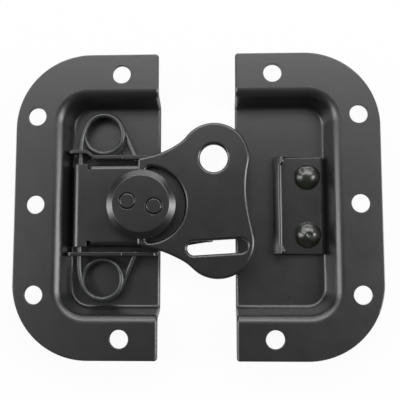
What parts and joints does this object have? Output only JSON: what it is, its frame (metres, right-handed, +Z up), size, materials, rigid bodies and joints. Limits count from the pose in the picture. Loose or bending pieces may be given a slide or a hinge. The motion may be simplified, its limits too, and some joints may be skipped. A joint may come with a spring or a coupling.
{
  "type": "recessed butterfly twist latch",
  "caption": "Recessed butterfly twist latch: pressed dish in halves, sprung hinged carrier, cam-drawn hook, folding turn handle and riveted keeper.",
  "frame": {"origin": "midway between the two dish halves, at their mid-height, in the plane under the pans", "axes": "+X from the latch half to the strike half, +Y along the parting edges, +Z up out of the dish towards the hand"},
  "size_m": [0.1212, 0.1016, 0.0126],
  "materials": {
    "powder_coated_steel": "satin",
    "coated_mechanism": "satin",
    "spring_wire": "semi-gloss",
    "black_rivet": "gloss"
  },
  "bodies": {
    "latch_base": {"latch_dish": "powder_coated_steel", "base_bracket": "coated_mechanism", "bracket_rivet_front_upper": "black_rivet", "bracket_rivet_front_lower": "black_rivet", "bracket_rivet_rear_upper": "black_rivet", "bracket_rivet_rear_lower": "black_rivet", "spring_upper": "spring_wire", "spring_lower": "spring_wire"},
    "carrier": {"carrier_plate": "coated_mechanism"},
    "tongue": {"hook_tongue": "coated_mechanism"},
    "turret": {"turret_cap": "coated_mechanism", "cam_spigot": "coated_mechanism", "retaining_washer": "coated_mechanism", "turret_rivet_rear": "black_rivet", "turret_rivet_front": "black_rivet"},
    "handle": {"butterfly_handle": "coated_mechanism"},
    "strike": {"strike_dish": "powder_coated_steel", "keeper_plate": "coated_mechanism", "keeper_rivet_upper": "black_rivet", "keeper_rivet_lower": "black_rivet"}
  },
  "joints": [
    {"name": "carrier_swing", "type": "hinge", "parent": "latch_base", "child": "carrier", "pos_m": [-0.0397, 0, 0.00515], "axis": [0, -1, 0], "range_deg": [0, 90], "stiffness_Nm_per_rad": 0.004, "springref_deg": -34.38},
    {"name": "turret_turn", "type": "hinge", "parent": "carrier", "child": "turret", "pos_m": [-0.0183, 0, 0.009], "axis": [0, 0, 1], "range_deg": [0, 180]},
    {"name": "handle_lift", "type": "hinge", "parent": "turret", "child": "handle", "pos_m": [-0.0183, 0, 0.009], "axis": [0, -1, 0], "range_deg": [0, 90]},
    {"name": "tongue_slide", "type": "slide", "parent": "carrier", "child": "tongue", "axis": [1, 0, 0], "range_m": [0, 0.00601]},
    {"name": "strike_slide", "type": "slide", "parent": "latch_base", "child": "strike", "axis": [1, 0, 0], "range_m": [-0.012, 0.025]}
  ],
  "couplings": [
    {"joint": "handle_lift", "follows": "turret_turn", "ratio": 0.5},
    {"joint": "tongue_slide", "follows": "turret_turn", "m_per_rad": 0.0019099}
  ]
}
